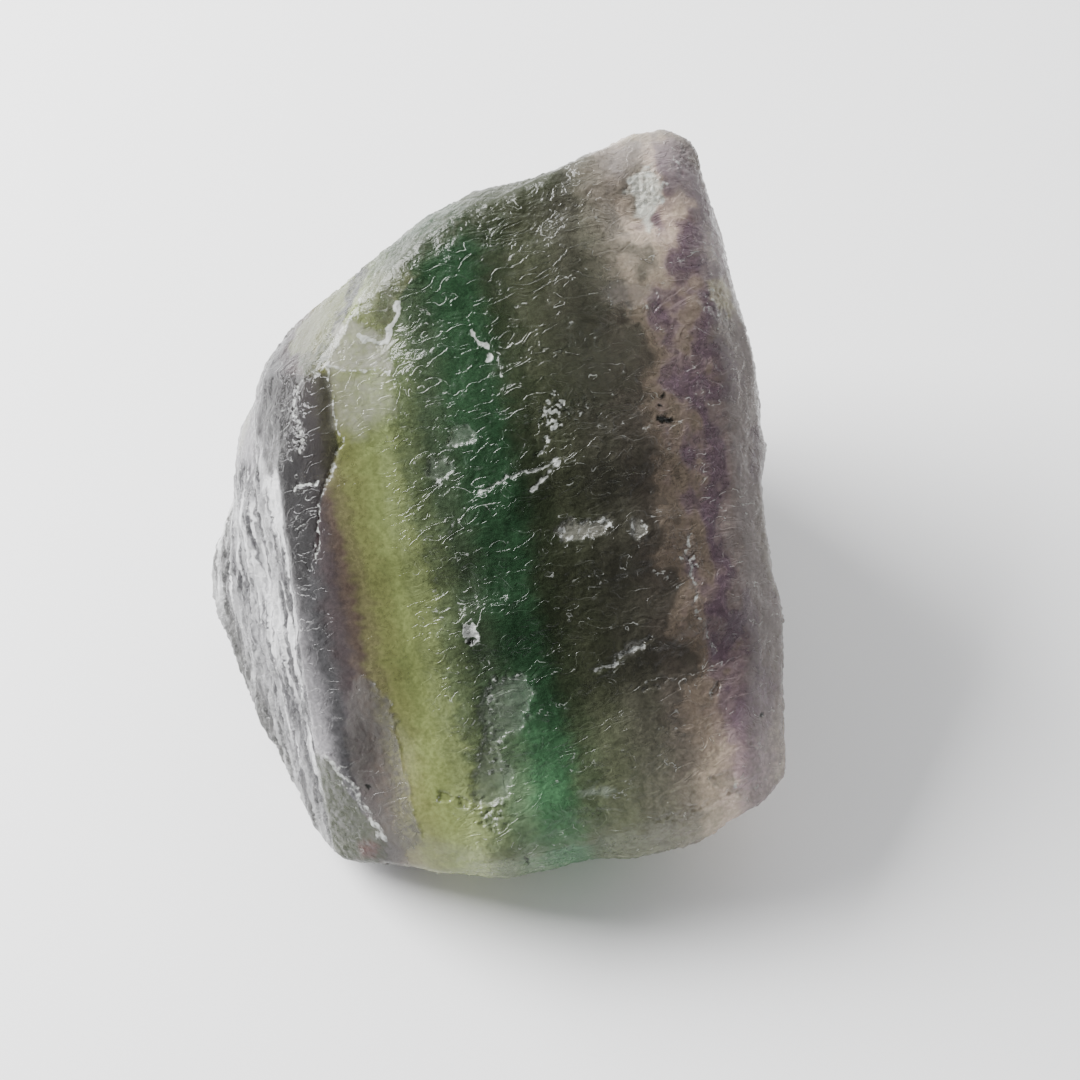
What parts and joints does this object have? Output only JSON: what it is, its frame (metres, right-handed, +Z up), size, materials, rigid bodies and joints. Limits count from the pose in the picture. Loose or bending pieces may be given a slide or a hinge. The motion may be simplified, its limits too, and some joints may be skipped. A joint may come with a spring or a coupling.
{
  "type": "rough fluorite",
  "caption": "Rough chunk of banded translucent fluorite, broken on all sides, with a broad hackly face, a striated side and a flat cleavage face to rest on.",
  "frame": {"origin": "middle of the chunk's bounding box, at the height of the cleavage face that it rests on", "axes": "+Z up from the resting face; the broad banded face looks up and towards -Y, its bands run up from -Y to +Y, and the purple and violet edge is towards +X"},
  "size_m": [0.0624, 0.0716, 0.0498],
  "materials": {
    "fluorite": "broken translucent crystal with a glassy lustre, banded in purple, yellow-green, deep green, smoky olive and violet, whitened where it is bruised"
  },
  "bodies": {
    "root": {"fluorite_chunk": "fluorite"}
  },
  "joints": []
}
